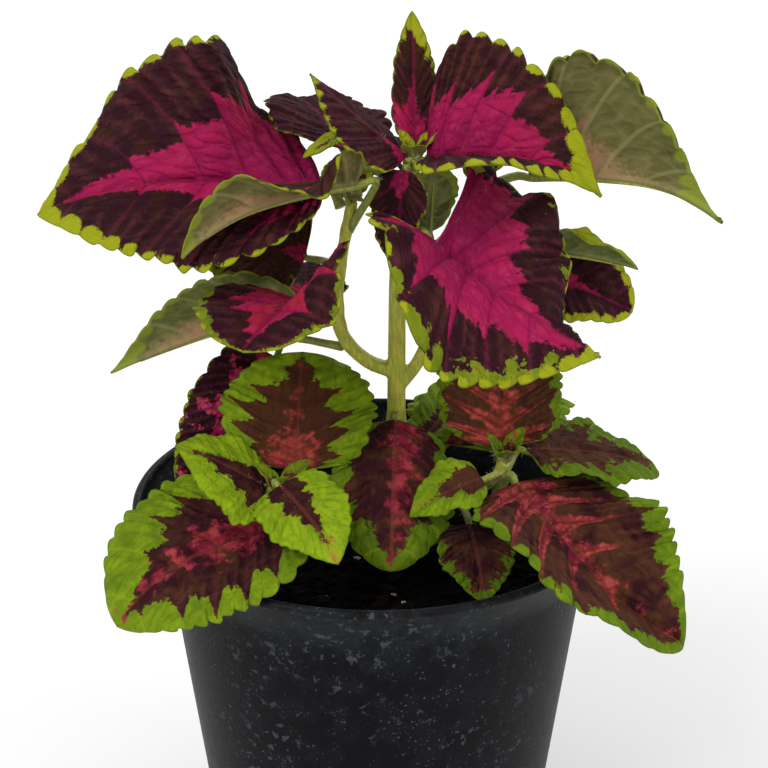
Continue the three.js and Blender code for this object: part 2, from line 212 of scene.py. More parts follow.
def leaf_face(name, lime, green, dark, brown, ridge_highlight, heart, warm, deep, warm_deep, pale, rib, soft, veil):
    """The upper face of a blade: a green margin, a dark centre with painted highlights on its raised pleats,
    and a bright heart.

    The heart's border is blurred by soft mm to each side, and veil lets the dark show through it.
    """
    f = Finish(name, roughness=0.7, specular=0.05)
    times, plus = f.times, f.plus
    flat = f.drawn("flat")[3]
    heart_at, dark_at, lime_at, _ = f.drawn("marks")
    turns, gap, across, _ = f.drawn("ribs")
    cell, pleat, edge, _ = f.drawn("quilt")
    warmth, browned, blush, _ = f.drawn("hues")
    patch, speck, tone_and_light, _ = f.drawn("breaks")

    def swing(scale, detail, rough=0.55):
        """Noise about zero, with its scale in turns per mm."""
        return f.math("SUBTRACT", f.noise(flat, scale, detail, rough), 0.5)

    coarse, patchy, fine, grain = swing(0.16, 3.0), swing(0.3, 4.0), swing(0.9, 3.0, 0.6), swing(2.6, 2.0)
    broken = f.step(plus(patchy, times(fine, 0.5)), 0.12, -0.12)
    heart_share = f.step(plus(heart_at, times(fine, 3.4), times(patchy, patch)), -soft, soft)
    heart_share = times(heart_share, plus(1.0, times(broken, veil)))
    dark_share = f.step(plus(dark_at, times(fine, 4.4), times(patchy, times(speck, 18.0))), -0.35, 0.35)
    side_line, mid_line = vein_lines(f, turns, gap, across, (LINE * 0.5, LINE * 2.2), (0.25, 0.75))
    net = f.rest(f.step(cell, 0.0, 0.4))

    # the margin's green, lifted towards lime by the leaf's tone: partly its own colour and partly painted
    # light
    margin = f.mix(f.step(plus(tone_and_light, times(coarse, 0.9), times(patchy, 0.7)), 0.0, 1.0), green, lime)
    margin = f.mix(times(net, 0.35), margin, green)
    margin = f.mix(times(side_line, 0.3), margin, lime)
    centre = f.mix(f.step(plus(browned, times(coarse, 2.0)), 0.2, 0.8), dark, brown)
    # painted highlight: the raised pleats and quilt cells of the dark centre turn a lighter red, as where
    # they catch the light
    ridge_highlight_share = f.step(plus(times(pleat, 0.6), times(fine, 1.3), times(coarse, 0.8), times(cell, 0.4)), 0.1, 1.3)
    centre = f.mix(times(ridge_highlight_share, 0.55), centre, ridge_highlight)
    centre = f.mix(times(side_line, 0.22), centre, deep)
    glow = f.mix(f.step(plus(warmth, times(coarse, 2.0)), 0.2, 0.8), heart, warm)
    depth = f.mix(warmth, deep, warm_deep)
    inside = f.step(plus(heart_at, times(coarse, 12.0)), 3.0, 17.0)
    glow = f.mix(times(inside, 0.55), glow, depth)
    glow = f.mix(times(f.step(plus(patchy, times(fine, 0.6)), 0.02, 0.16), blush), glow, pale)
    glow = f.mix(times(net, 0.35), glow, depth)
    glow = f.mix(times(side_line, 0.6), glow, depth)

    colour = f.mix(dark_share, margin, centre)
    colour = f.mix(heart_share, colour, glow)
    colour = f.mix(times(times(mid_line, dark_share), 0.5), colour, rib)
    crown = f.step(plus(lime_at, times(grain, 1.2), times(fine, 1.4)), -0.25, 0.35)
    colour = f.mix(crown, colour, lime)
    colour = f.mix(times(f.step(edge, 0.4, 0.1), 0.5), colour, green)
    relief = plus(times(grain, 0.6), times(net, -0.7), times(pleat, 1.1), fine)
    return f.finish(colour, plus(0.66, times(grain, 0.25)), relief, 0.0003)


def leaf_back(name, olive, mottle_and_pleat_shade, blush, brown, rib, lime):
    """The underside: dull olive with a darker mottle, raised veins, painted shade along the pleats, and a
    blush under the heart.
    """
    f = Finish(name, roughness=0.75, specular=0.08)
    flat = f.drawn("flat")[3]
    heart_at, dark_at, lime_at, _ = f.drawn("marks")
    turns, gap, across, _ = f.drawn("ribs")
    cell, pleat, edge, _ = f.drawn("quilt")
    browned = f.drawn("hues")[1]
    coarse = f.noise(flat, 0.22, 3.0)
    fine = f.noise(flat, 0.9, 3.0, 0.6)
    swing = f.math("SUBTRACT", fine, 0.5)
    inside = f.step(f.plus(dark_at, f.times(swing, 4.0)), -1.0, 2.0)
    pink = f.step(f.plus(heart_at, f.times(swing, 8.0)), -2.0, 3.0)
    net = f.rest(f.step(cell, 0.0, 0.3))
    side_line, mid_line = vein_lines(f, turns, gap, across, (LINE, LINE * 2.6), (0.6, 1.4))
    rim = f.math("MAXIMUM", f.step(lime_at, -0.4, 0.4), f.step(edge, 0.7, 0.2))

    body = f.mix(f.step(coarse, 0.35, 0.65), olive, mottle_and_pleat_shade)
    body = f.mix(f.times(inside, browned), body, brown)
    body = f.mix(f.times(pink, 0.75), body, blush)
    # painted shade: the pleats are darkened towards the darker olive, where their grooves lie on this side
    body = f.mix(f.times(f.step(pleat, 0.3, 1.0), 0.4), body, mottle_and_pleat_shade)
    body = f.mix(f.times(net, 0.18), body, rib)
    body = f.mix(f.times(f.math("MAXIMUM", side_line, mid_line), 0.35), body, rib)
    body = f.mix(f.times(rim, 0.6), body, lime)
    return f.finish(body, f.plus(0.65, f.times(fine, 0.2)), fine, 0.00016)


def stem_skin(name, green, pale, blush):
    """Fleshy green skin with fine streaks up the stem and darker patches."""
    f = Finish(name, roughness=0.45, sheen=0.15, specular=0.4)
    where = f.where()
    long_grain = f.node("ShaderNodeMapping")
    long_grain.inputs["Scale"].default_value = (1.0, 1.0, 0.16)
    f.feed(long_grain.inputs["Vector"], where)
    streak = f.noise(long_grain.outputs[0], 1400.0, 4.0, 0.6)
    patch = f.noise(where, 130.0, 3.0)
    colour = f.mix(f.step(streak, 0.38, 0.66), green, pale)
    colour = f.mix(f.times(f.step(patch, 0.52, 0.72), 0.55), colour, blush)
    return f.finish(colour, f.plus(0.34, f.times(streak, 0.25)), streak, 0.0002)


def pot_plastic():
    """Black plastic with a mottled film of dust, a lighter band over the flare that is dust and painted light
    where the flare faces up, and clustered dried splashes.
    """
    f = Finish("pot_plastic", roughness=0.5, specular=0.06)
    where = f.where()
    split = f.node("ShaderNodeSeparateXYZ")
    f.feed(split.inputs[0], where)
    height = split.outputs[2]
    broad = f.noise(where, 42.0, 3.0, 0.6)
    film = f.noise(where, 150.0, 5.0, 0.65)
    splash = f.noise(where, 420.0, 3.0, 0.55)
    grit = f.noise(where, 1150.0, 2.0, 0.5)
    # the flare band: dust mottle, lightened further as painted light where the flare faces up
    flare_dust_and_light = f.times(f.step(height, 0.086, 0.1), f.step(film, 0.3, 0.6))
    splash = f.times(f.step(splash, 0.585, 0.65), f.step(broad, 0.47, 0.58))
    grit = f.times(f.step(grit, 0.64, 0.7), f.step(film, 0.45, 0.6))
    colour = f.mix(f.step(film, 0.4, 0.7), (10, 10, 13), (19, 20, 25))
    # the grey of the flare band: dust, and painted light on the upward-facing flare
    colour = f.mix(f.times(flare_dust_and_light, 0.5), colour, (36, 39, 41))
    colour = f.mix(f.times(splash, 0.5), colour, (82, 86, 90))
    colour = f.mix(f.times(grit, 0.5), colour, (104, 106, 108))
    rough = f.plus(0.34, f.times(film, 0.2), f.times(splash, 0.3))
    return f.finish(colour, rough, f.noise(where, 900.0, 3.0), 0.0001)


def potting_mix(name, dark, light):
    """Rough and crumbling, in two shades."""
    f = Finish(name, roughness=0.95, specular=0.04)
    where = f.where()
    crumb = f.noise(where, 520.0, 5.0, 0.7)
    patch = f.math("SUBTRACT", f.noise(where, 90.0, 3.0), 0.5)
    colour = f.mix(f.step(f.plus(crumb, patch), 0.4, 0.75), dark, light)
    return f.finish(colour, None, crumb, 0.0006)


def floor_finish():
    f = Finish("studio_floor", roughness=0.85, specular=0.1)
    faint = f.noise(f.where(), 3.0, 2.0)
    return f.finish(f.mix(faint, (243, 243, 243), (247, 247, 247)))


# The ridge colours below are painted highlights on the raised pleats of the dark centres.
CROWN_FACE = leaf_face(
    "crown_leaf_face",
    lime=(146, 152, 24), green=(92, 108, 24), dark=(45, 17, 26), brown=(52, 29, 18),
    ridge_highlight=(98, 48, 52), heart=(160, 28, 76), warm=(170, 34, 54), deep=(116, 12, 68),
    warm_deep=(112, 14, 42), pale=(196, 88, 112), rib=(112, 28, 60), soft=0.5, veil=0.0,
)
LOWER_FACE = leaf_face(
    "lower_leaf_face",
    lime=(136, 162, 24), green=(84, 108, 18), dark=(50, 20, 25), brown=(74, 44, 27),
    ridge_highlight=(98, 56, 44), heart=(146, 36, 60), warm=(172, 68, 58), deep=(80, 22, 30),
    warm_deep=(112, 38, 36), pale=(196, 102, 92), rib=(110, 52, 48), soft=2.6, veil=-0.55,
)
CROWN_BACK = leaf_back(
    "crown_leaf_back",
    olive=(104, 112, 60), mottle_and_pleat_shade=(76, 88, 44), blush=(172, 128, 98),
    brown=(100, 78, 50), rib=(140, 140, 88), lime=(138, 150, 40),
)
LOWER_BACK = leaf_back(
    "lower_leaf_back",
    olive=(112, 132, 42), mottle_and_pleat_shade=(88, 108, 32), blush=(152, 110, 80),
    brown=(100, 84, 48), rib=(146, 156, 80), lime=(136, 160, 36),
)
STEM_SKIN = stem_skin("stem_skin", (160, 164, 36), (194, 192, 66), (136, 126, 40))
STALK_SKIN = stem_skin("stalk_skin", (118, 128, 36), (148, 154, 58), (126, 90, 54))
HAIR = stem_skin("fine_hairs", (186, 188, 140), (214, 214, 178), (190, 172, 140))
POT = pot_plastic()
# The mix of the bed and its crumbs is near black: dark peat, darkened further as painted shade for the shadow
# inside the pot.
MIX_DARKENED_AS_SHADE = potting_mix("potting_mix", (3, 3, 3), (18, 15, 12))
BARK = potting_mix("bark_bits", (14, 10, 8), (40, 30, 22))
PERLITE = potting_mix("perlite", (150, 146, 136), (196, 194, 186))

# ---- curves and tubes ----


def smooth_path(points, count):
    """count points along a smooth curve through the given ones."""
    p = np.array(points, float)
    p = np.vstack([2 * p[0] - p[1], p, 2 * p[-1] - p[-2]])
    at = np.linspace(0, len(points) - 1 - 1e-9, count)
    i = at.astype(int)
    f = (at - i)[:, None]
    a, b, c, d = p[i], p[i + 1], p[i + 2], p[i + 3]
    return 0.5 * (2 * b + (c - a) * f + (2 * a - 5 * b + 4 * c - d) * f**2 + (3 * b - a - 3 * c + d) * f**3)


def tube(bm, path, girths, sides, square=0.0):
    """A tube with closed ends, made ring by ring. Its path and girths are in millimetres."""
    forward = np.gradient(path, axis=0)
    side = None
    last = None
    for i, (point, girth) in enumerate(zip(path, girths)):
        ahead = Vector(forward[i]).normalized()
        if side is None:
            side = ahead.orthogonal().normalized()
        side = (side - ahead * side.dot(ahead)).normalized()
        third = ahead.cross(side)
        ring = bmesh.ops.create_circle(bm, segments=sides, radius=1.0, cap_ends=False)["verts"]
        for k, vert in enumerate(ring):
            angle = 2 * math.pi * k / sides
            reach = girth * (1 + square * math.cos(4 * angle))
            vert.co = (Vector(point) + side * reach * math.cos(angle) + third * reach * math.sin(angle)) * MM
        edges = list({edge for vert in ring for edge in vert.link_edges})
        if last is None:
            bmesh.ops.edgeloop_fill(bm, edges=edges)
        else:
            bmesh.ops.bridge_loops(bm, edges=last + edges)
        last = edges
    bmesh.ops.edgeloop_fill(bm, edges=last)


def mesh_from(bm, name, finish=None):
    mesh = bpy.data.meshes.new(name)
    bm.to_mesh(mesh)
    bm.free()
    if finish:
        mesh.materials.append(finish)
    return mesh


def add_piece(name, mesh, slot, *nodes):
    """Puts a piece on the plant, in place of these nodes of the plain model."""
    piece = linked(name, mesh)
    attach(piece, "root")
    if nodes:
        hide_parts(*nodes)
    return piece


def settled(holder, name, finishes, *modifiers):
    """An object's mesh after these modifiers, each a kind and its settings."""
    for finish in finishes:
        holder.data.materials.append(finish)
    for kind, settings in modifiers:
        modifier = holder.modifiers.new(kind, kind)
        for key, value in settings.items():
            setattr(modifier, key, value)
    graph = bpy.context.evaluated_depsgraph_get()
    done = bpy.data.meshes.new_from_object(holder.evaluated_get(graph), depsgraph=graph)
    bpy.data.objects.remove(holder)
    done.name = name
    return done


# ---- leaves ----

# Places and lengths in mm and angles in degrees. bend and sway turn the midrib down and to the side,
# in its first and its second half. fold is how far the halves of the blade rise from the midrib.
# What lies across a blade, here and in the colours below, is one number or a list from base to tip
# for both halves, or a tuple of two such for the left and the right.
USUAL = dict(
    roll=0, bend=(0, 0), sway=(0, 0), fold=8, curl=0, wave=1.5, waves=2.5, phase=0, teeth=9,
    bite=0.1, lobes=0.08, belly=0.5, point=0.85, stout=1.0, green=False,
)


def placed(base, root, heading, pitch, length, width, **more):
    """A leaf whose blade starts at base and whose stalk leaves the stem at root."""
    where = dict(base=base, root=root, heading=heading, pitch=pitch, length=length, width=width)
    return SimpleNamespace(**{**USUAL, **where, **more})


LEAVES = {
    # the crown
    "top_left": placed((-14, 2, 197.5), (-9, -1, 192), 186, 3, 73, 76,
        bend=(2, 24), fold=([0, -8, -17, -17, -10], [5, 16, 74, 54, 24, 6]), waves=2, lobes=0.06, point=0.82,
        teeth=11, stout=1.3),
    "crown_bud": placed((-8.6, 5, 209.4), (8, 0, 200), 203, -24, 12, 8,
        wave=0.2, teeth=4, bite=0.05, stout=0.6),
    "rolled_left": placed((-5, -13, 202.6), (-7, -2, 186), 211, 2, 51, 33,
        bend=(8, 30), fold=([50, 55, 20, 34, 72, 80, 72], -12), waves=1.6, phase=0.1, belly=0.45, point=0.8),
    "crown_left": placed((8, -1.5, 206), (9, 0, 199), 164, 32, 32, 28,
        bend=(-5, -5), fold=-15, wave=0.5, waves=1, point=1.1, teeth=8),
    "top_right": placed((12.6, -1, 205), (9.5, 0, 201), -8, 4, 46.5, 66,
        bend=(6, 36), fold=([60, 64, 64, 46, 30], [15, 15, 15, 12, 0]), waves=2, lobes=(0.02, 0.12),
        belly=0.46, point=1.3, stout=1.2),
    "crown_tip": placed((9.6, 5.6, 206.6), (9.5, 1, 203), 92, 64, 34, 13.5,
        fold=(30, -12), wave=0.5, teeth=7),
    "back_right": placed((40, 13, 196), (26, 9, 193), -10, 4, 52, 68,
        roll=-6, bend=(8, 34), fold=(60, [80, 84, 84, 84, 84]), waves=2, belly=0.9, point=2.3, stout=1.2),
    "crown_front": placed((7, -4.6, 203), (8, 0, 198), -119, -78, 25, 16.5, fold=(14, 8), teeth=7),
    "back_top": placed((-8, 11, 203.5), (8, 0, 198), 111, 12, 40, 34, roll=8, bend=(4, 24)),
    "young_left": placed((-6.9, -3, 195), (-6, -2, 191), -124, 62, 14, 13,
        fold=-8, wave=0.5, teeth=5, stout=0.7),
    "young_right": placed((13.6, 2.4, 184), (7, 0, 182), -75, 80, 19, 14,
        fold=-8, wave=0.5, belly=0.9, point=0.5, teeth=6, stout=0.7),
    # the middle
    "front_right": placed((14.5, -13.2, 187), (7, 0, 178), -43, -26, 52, 62,
        roll=4, bend=(-4, 12), sway=(-10, -20), fold=([20, 38, 8, -30, -40], [41, 16, -22, -34, -26]),
        curl=-15, wave=2, waves=2, lobes=(0.46, 0.3), belly=0.45, point=1, teeth=11, stout=1.2),
    "small_right": placed((38, 5, 179.5), (20, 6, 184), -8, -6, 30, 20,
        bend=(2, 8), fold=(20, 50), teeth=7),
    "side_right": placed((36, 9, 172.5), (17, 5, 172), -18, -12, 33, 28,
        roll=25, bend=(5, 10), fold=(20, 10), point=0.6, teeth=8),
    "side_left": placed((-19, -5.5, 167.8), (-10, -2, 165), 194, -13, 52, 32,
        bend=(2, 5), fold=([60, 85, 85, 85], 0), wave=1, waves=1.5, belly=1, point=1.35),
    "hanging_left": placed((-17.2, -21.7, 174), (-9.5, -2, 174), -115, 14, 35, 44,
        bend=(10, 24), fold=([64, 50, 16, 4], 4), lobes=0.27, belly=0.45, point=0.55, teeth=8),
    "inner_left": placed((-18.5, 11.2, 174.2), (-9.5, -2, 176), 172, 10, 30, 38,
        roll=-32, bend=(0, 20), teeth=8),
    "back_middle": placed((-14, 10, 160), (-9.5, -2, 160), 140, 4, 50, 36, bend=(10, 34)),
    "low_left": placed((-26.5, 6, 147.5), (-9, -2, 154), 206, -50, 46, 28,
        roll=-55, bend=(4, 4), fold=5, point=0.9),
    # the lower shoots
    "upright_left": placed((-21, -20.5, 127.5), (-18, -25, 115), 86, 42, 33, 42,
        bend=(-6, 10), fold=6, wave=2, point=0.6, belly=0.55, green=True),
    "shoot_left": placed((-27.6, -33.5, 129.3), (-24.5, -32.8, 123.5), 188, 32, 26, 34,
        roll=-10, bend=(0, 10), fold=(-12, -4), point=1, teeth=8, green=True),
    "shoot_front": placed((-24, -39, 132), (-23.2, -34.8, 125.5), -54, -12, 28, 24,
        bend=(10, 20), fold=(20, -15), point=0.9, teeth=8, green=True),
    "rim_left": placed((-21, -29, 117.5), (-13, -18, 112), -152, -2, 55, 54,
        bend=(10, 42), fold=([10, -10, -16], 18), wave=1, point=0.7, teeth=11, stout=1.2, green=True),
    "front": placed((5, -6, 135), (5, 0, 131), -92, -22, 46, 34,
        bend=(6, 26), fold=(-18, -6), wave=2.5, waves=2, point=0.65, belly=0.6, green=True),
    "small_front": placed((26.5, -29.5, 129.5), (26, -14, 118), -160, -12, 21, 18,
        roll=-18, bend=(10, 20), fold=10, point=1, teeth=7, green=True),
    "upright_right": placed((32, -14, 131), (31, -17, 122), 90, 36, 38, 34,
        bend=(-6, 0), fold=6, point=0.6, green=True),
    "low_right": placed((39, -14, 130.5), (33, -19, 126), 8, -4, 37, 36,
        roll=4, bend=(6, 24), fold=(0, 4), point=0.7, green=True),
    "rim_right": placed((36, -25, 126), (31, -18, 120), -54, -26, 61, 52,
        bend=(6, 8), sway=(-8, -36), fold=([-4, 8, 30, 34, 30], [2, 20, 28, 32, 28]), point=0.7,
        lobes=0.06, teeth=11, stout=1.2, green=True),
    "soil_front": placed((24, -25, 114), (22, -11, 113), -82, -14, 25, 21,
        bend=(10, 20), fold=5, teeth=8, green=True),
    "inner_back": placed((12, 8, 122), (5, 0, 114), 60, 20, 26, 16,
        bend=(10, 30), fold=15, teeth=7, green=True),
    "back_low_left": placed((-10, 14, 119), (3, 0, 108), 140, 14, 50, 44, bend=(12, 40), green=True),
    "back_low_right": placed((18, 14, 119), (6, 0, 108), 45, 14, 50, 44, bend=(12, 40), green=True),
}

# The colours. heart and dark are how far out from the midrib they reach, as shares of the half
# width, and lime is how far in from the margin the pale crowns of its teeth reach, in mm. rays draws
# the heart out along the side veins and steps cuts it back between them. fingers does both for dark.
# Each leaf's tone lifts the green of its margin towards lime: partly the leaf's own colour, partly painted
# light, higher on brightly lit leaves and lower on shaded ones.
NOWHERE = -0.5
SMALL_HEART = ([0.3, 0.2, -0.2, -0.2], [0.5, 0.3, -0.1, -0.2])
CROWN_MARKS = dict(
    heart=[0.5, 0.45, 0.35, 0.25, 0.12, 0], dark=1.15, lime=[0.8, 1.2, 1.4, 1.8, 3], warm=0.15, brown=0.3,
    blush=0.1, patch=2, speck=0.1, tone_and_light=0.7, rays=0.08, steps=0.4, fingers=0.04,
)
LOWER_MARKS = dict(
    heart=[0.05, 0.1, 0.1, 0, -0.2, -0.5], dark=[0.5, 0.62, 0.68, 0.7, 0.66, 0.56, 0.4, 0.2, -0.1], lime=0.2,
    warm=0.6, brown=0.5, blush=0.15, patch=20, speck=0.22, tone_and_light=0.4, rays=0.3, steps=0.2, fingers=0.16,
)
MARKS = {
    "top_left": dict(
        heart=([0.9, 0.8, 0.7, 0.6, 0.56, 0.26, 0.16, 0.16, -0.1],
               [0.9, 0.84, 0.8, 0.68, 0.52, 0.4, 0.28, 0.2, -0.1]),
        lime=([0.8, 1.2, 1.6, 2, 3.6, 5], [0.8, 1.6, 2, 2.4, 3.6, 5]), brown=0.35, steps=0.34, rays=0.05),
    "crown_bud": dict(heart=NOWHERE, dark=0.1),
    "rolled_left": dict(heart=([0, 0, 0, 0, 0.2, 0.4, 0.44, 0.2, 0], [0.3, 0.2, 0.1, 0]), brown=0.6),
    "crown_left": dict(
        heart=([0.5, 0.2, -0.2, -0.2], [0.3, -0.2, -0.2]), lime=[1.2, 1.1, 1.0, 1.2], brown=0.3),
    "top_right": dict(
        heart=([0.8, 0.5, 0.46, 0.56, 0.7, 0.58, 0.4, 0.2, -0.1],
               [0.1, 0, 0, 0.05, 0.1, 0.3, 0.6, 0.4, -0.1]),
        lime=([0.6, 1.2, 1.8, 2.4, 4, 6], [2.3, 2.4, 2.6, 3, 6]), brown=0.5, rays=0.08),
    "crown_tip": dict(
        heart=([1.1, 1.0, 0.8, 0.4, 0.1, -0.2, -0.2], [0.9, 0.7, 0.4, 0.1, 0, -0.2, -0.2]), brown=0.6,
        lime=([0, 0, 0, 0.5, 2.4], [0, 0.2, 0.6, 1.4, 3.4])),
    "back_right": dict(heart=([0.2, 0.1, 0], [0.1, 0.3, 0.44, 0.44, 0.28, 0.1, -0.2, -0.2]), brown=0.5),
    "crown_front": dict(heart=SMALL_HEART, brown=0.35, lime=[0.5, 0.4]),
    "back_top": dict(heart=SMALL_HEART, lime=0.4),
    "young_left": dict(heart=NOWHERE, brown=0.6),
    "young_right": dict(heart=NOWHERE, brown=0.2),
    "front_right": dict(
        heart=([1.0, 1.0, 0.95, 0.74, 0.42, 0.3, 0.16, 0.04, -0.1],
               [0.8, 0.7, 0.68, 0.64, 0.58, 0.44, 0.5, 0.45, -0.1]),
        dark=([1.15, 1.15, 1.1, 1.04, 0.96, 0.88], [1.15, 1.12, 1.06, 0.98, 0.9, 0.8]), speck=1.1,
        lime=([0.6, 1.2, 1.8, 2.2, 2.4, 3], [1.4, 1.8, 1.8, 2, 3]), blush=0.12, rays=0.1, tone_and_light=0.4, patch=4),
    "small_right": dict(heart=NOWHERE, dark=NOWHERE, brown=0, lime=0.5, tone_and_light=1.2),
    "side_right": dict(
        heart=([0.1, 0.1, 0.15, 0.2, 0.1, -0.2], [0, 0, 0.1, 0.2, 0, -0.2]), warm=0.3,
        lime=[0.6, 1.4, 2.2, 2.2]),
    "side_left": dict(heart=([0, 0, 0, 0, 0.1, 0.4, 0.3, 0], [0.3, 0.2, 0.1, 0]), brown=0.25),
    "hanging_left": dict(
        heart=([0.95, 0.95, 0.92, 0.88, 0.72, 0.56, 0.4, 0.14, -0.1],
               [0.84, 0.84, 0.74, 0.6, 0.56, 0.5, 0.36, 0.16, -0.1]),
        dark=([1.15, 1.15, 1.15, 1.1, 1.05, 1], [1.1, 1.08, 1.04, 1, 0.96, 0.9]), warm=0.45, rays=0.14,
        lime=([0.6, 0.8, 1, 1], [0.6, 0.8, 1]), patch=6, tone_and_light=0.4),
    "inner_left": dict(
        heart=[0.3, 0.1, -0.2, -0.2], brown=1.2, lime=[1.6, 1.2], dark=[0.94, 0.9], speck=1.6, tone_and_light=0.1),
    "low_left": dict(
        heart=([0.1, 0.1, 0.1, 0.1, 0, -0.2], [0.2, 0.4, 0.5, 0.5, 0.4, 0.2, -0.2]), blush=0.6, patch=40,
        lime=[0.5, 0.9]),
    "upright_left": dict(
        heart=([0.24, 0.3, 0.34, 0.2, 0, -0.2, -0.4], [0.2, 0.24, 0.3, 0.14, -0.1, -0.2, -0.4]), brown=0.95,
        dark=([0.5, 0.6, 0.7, 0.8, 0.84, 0.8, 0.64, 0.42, 0.1],
              [0.5, 0.54, 0.58, 0.64, 0.66, 0.62, 0.54, 0.4, 0.1]),
        warm=0.8, tone_and_light=0.5, fingers=0.26, patch=26),
    "shoot_left": dict(
        dark=([0.7, 0.66, 0.56, 0.44, 0.38, 0.3, 0.1], [0.5, 0.44, 0.36, 0.3, 0.26, 0.2, 0.05]),
        brown=0.35, tone_and_light=0.8, heart=NOWHERE),
    "shoot_front": dict(dark=[0.5, 0.48, 0.42, 0.36, 0.3, 0.14, -0.1], brown=0.35, tone_and_light=0.8, heart=NOWHERE),
    "rim_left": dict(
        heart=([0.3, 0.24, 0.24, 0.26, 0.1, -0.3], [0.2, 0.2, 0.26, 0.2, 0.1, -0.3]), warm=0.3, brown=0.3,
        dark=([0.66, 0.72, 0.78, 0.84, 0.88, 0.9, 0.84, 0.6, 0.1],
              [0.5, 0.54, 0.6, 0.7, 0.78, 0.7, 0.5, 0.24, -0.1]),
        tone_and_light=0.45, patch=26),
    "front": dict(
        heart=([0.3, 0.36, 0.4, 0.36, 0.3, 0.2, 0], [0.05, 0.05, 0.08, 0.05, 0, -0.1, -0.3]), warm=0.3,
        dark=([0.7, 0.8, 0.86, 0.88, 0.86, 0.8, 0.7, 0.5, 0.1],
              [0.3, 0.4, 0.5, 0.66, 0.84, 0.92, 0.8, 0.5, 0.1]),
        brown=0.3, tone_and_light=0.15, patch=16),
    "small_front": dict(dark=[0.6, 0.6, 0.54, 0.4, 0.2, -0.1], brown=0.8, tone_and_light=0.5, heart=NOWHERE),
    "upright_right": dict(
        heart=([0.6, 0.6, 0.54, 0.4, 0.3, 0.1, -0.2], [0.4, 0.44, 0.4, 0.3, 0.16, 0, -0.2]), warm=0.9,
        dark=[0.9, 0.98, 1.02, 1, 0.94, 0.86, 0.6, 0.2], rays=0.9, brown=0.8, patch=16, blush=0.4,
        fingers=0.08, tone_and_light=0.3),
    "low_right": dict(
        dark=([0.6, 0.66, 0.72, 0.7, 0.64, 0.5, 0.3], [0.6, 0.74, 0.78, 0.74, 0.68, 0.5, 0.2]), brown=0.6,
        tone_and_light=0.1, heart=NOWHERE, speck=1.2),
    "rim_right": dict(
        heart=([0.24, 0.3, 0.34, 0.34, 0.28, 0.2, 0.1, -0.2], [0.34, 0.5, 0.56, 0.52, 0.44, 0.34, 0.2, -0.2]),
        warm=0.5, rays=1, brown=0.5, fingers=0.08, patch=14, tone_and_light=0.25, blush=0.4,
        dark=([0.84, 0.9, 0.94, 0.92, 0.9, 0.88, 0.84, 0.64], [0.96, 1, 1.04, 1.06, 1.06, 1.04, 0.98, 0.7])),
    "soil_front": dict(dark=[0.98, 0.98, 0.94, 0.88, 0.7], brown=0.4, tone_and_light=0, heart=NOWHERE),
    "inner_back": dict(dark=[0.5, 0.4, 0.2], brown=0.4, tone_and_light=0.1, heart=NOWHERE),
    "back_low_left": dict(heart=[0.3, 0.3, 0.2, 0], rays=0.5),
    "back_low_right": dict(heart=[0.3, 0.3, 0.2, 0], rays=0.5),
}

RIB_STEPS = 64
CELL = 0.62             # the mesh's spacing in mm
VEIN_CURVE = 1.4        # a side vein leaves the midrib at s ** VEIN_CURVE
REACH_CURVE = 0.68      # and meets the margin at s ** REACH_CURVE
VEIN_SWEEP = 1.15       # and bends towards the tip on its way
LOBE_END = 0.4          # the lobes at the base take up this share of the margin
FINER_TEETH = 1.35      # teeth for each one of the plain blade's
VEINS_PER_TOOTH = 0.64  # side veins on a half, for each tooth of the plain blade's
PLEATS = 3              # between two side veins
LEAF_SKIN = 0.3         # thickness of a blade between its veins, in mm
RIB_SKIN = 0.85         # and on them
SWELL = 1.2             # how far the blade rises between its veins, in mm
GROOVE = 0.3            # how far it sinks along the midrib
CUP = 0.35              # and at the margin
FULL_WIDTH = 60.0       # the width at which relief and thickness are as given here
LITTLE, TINY = 0.012, 1e-6  # the step over which slopes are measured, and no division by 0
STALK_STEPS = 40
KEEL_STEP, KEEL_END = 6, int(0.9 * RIB_STEPS)


def cos_sin(degrees):
    return math.cos(math.radians(degrees)), math.sin(math.radians(degrees))


def turned(a, b, degrees):
    """Two axes at right angles, with a turned towards b."""
    c, s = cos_sin(degrees)
    return a * c + b * s, b * c - a * s


def midrib(leaf):
    """Points down the midrib and the axes there: along it, to its right, and out of the face."""
    x, y = cos_sin(leaf.heading)
    level, rise = cos_sin(leaf.pitch)
    ahead = np.array([x * level, y * level, rise])
    right = np.cross(ahead, (0, 0, 1))
    right /= np.linalg.norm(right)
    out = np.cross(right, ahead)
    out, right = turned(out, right, leaf.roll)
    point = np.array(leaf.base, float)
    rows = [(point, ahead, right, out)]
    for i in range(RIB_STEPS):
        half = 0 if i < RIB_STEPS / 2 else 1
        ahead, out = turned(ahead, out, -leaf.bend[half] * 2 / RIB_STEPS)
        ahead, right = turned(ahead, right, leaf.sway[half] * 2 / RIB_STEPS)
        point = point + ahead * leaf.length / RIB_STEPS
        rows.append((point, ahead, right, out))
    return [np.array(column) for column in zip(*rows)]


def spread(value, place):
    """value if it is one number, or its list drawn out smoothly from base to tip."""
    if not isinstance(value, (list, tuple)):
        return np.full_like(place, float(value))
    x = np.clip(place, 0, 1) * (len(value) - 1)
    i = np.minimum(x.astype(int), len(value) - 2)
    f = x - i
    k = f * f * (3 - 2 * f)
    numbers = np.array(value, float)
    return numbers[i] * (1 - k) + numbers[i + 1] * k


def halves(value):
    """What the left and the right half take: a tuple holds one for each, all else serves both."""
    return value if isinstance(value, tuple) else (value, value)


def both_sides(value, place, right_side):
    left, right = halves(value)
    return np.where(right_side, spread(right, place), spread(left, place))


def ramp(value, length, start=0.0):
    """0 up to start, then rising to 1 over this length."""
    return np.clip((value - start) / length, 0, 1)


def near(distance, width):
    """1 at no distance, falling away smoothly over about this width."""
    return np.exp(-((distance / width) ** 2))


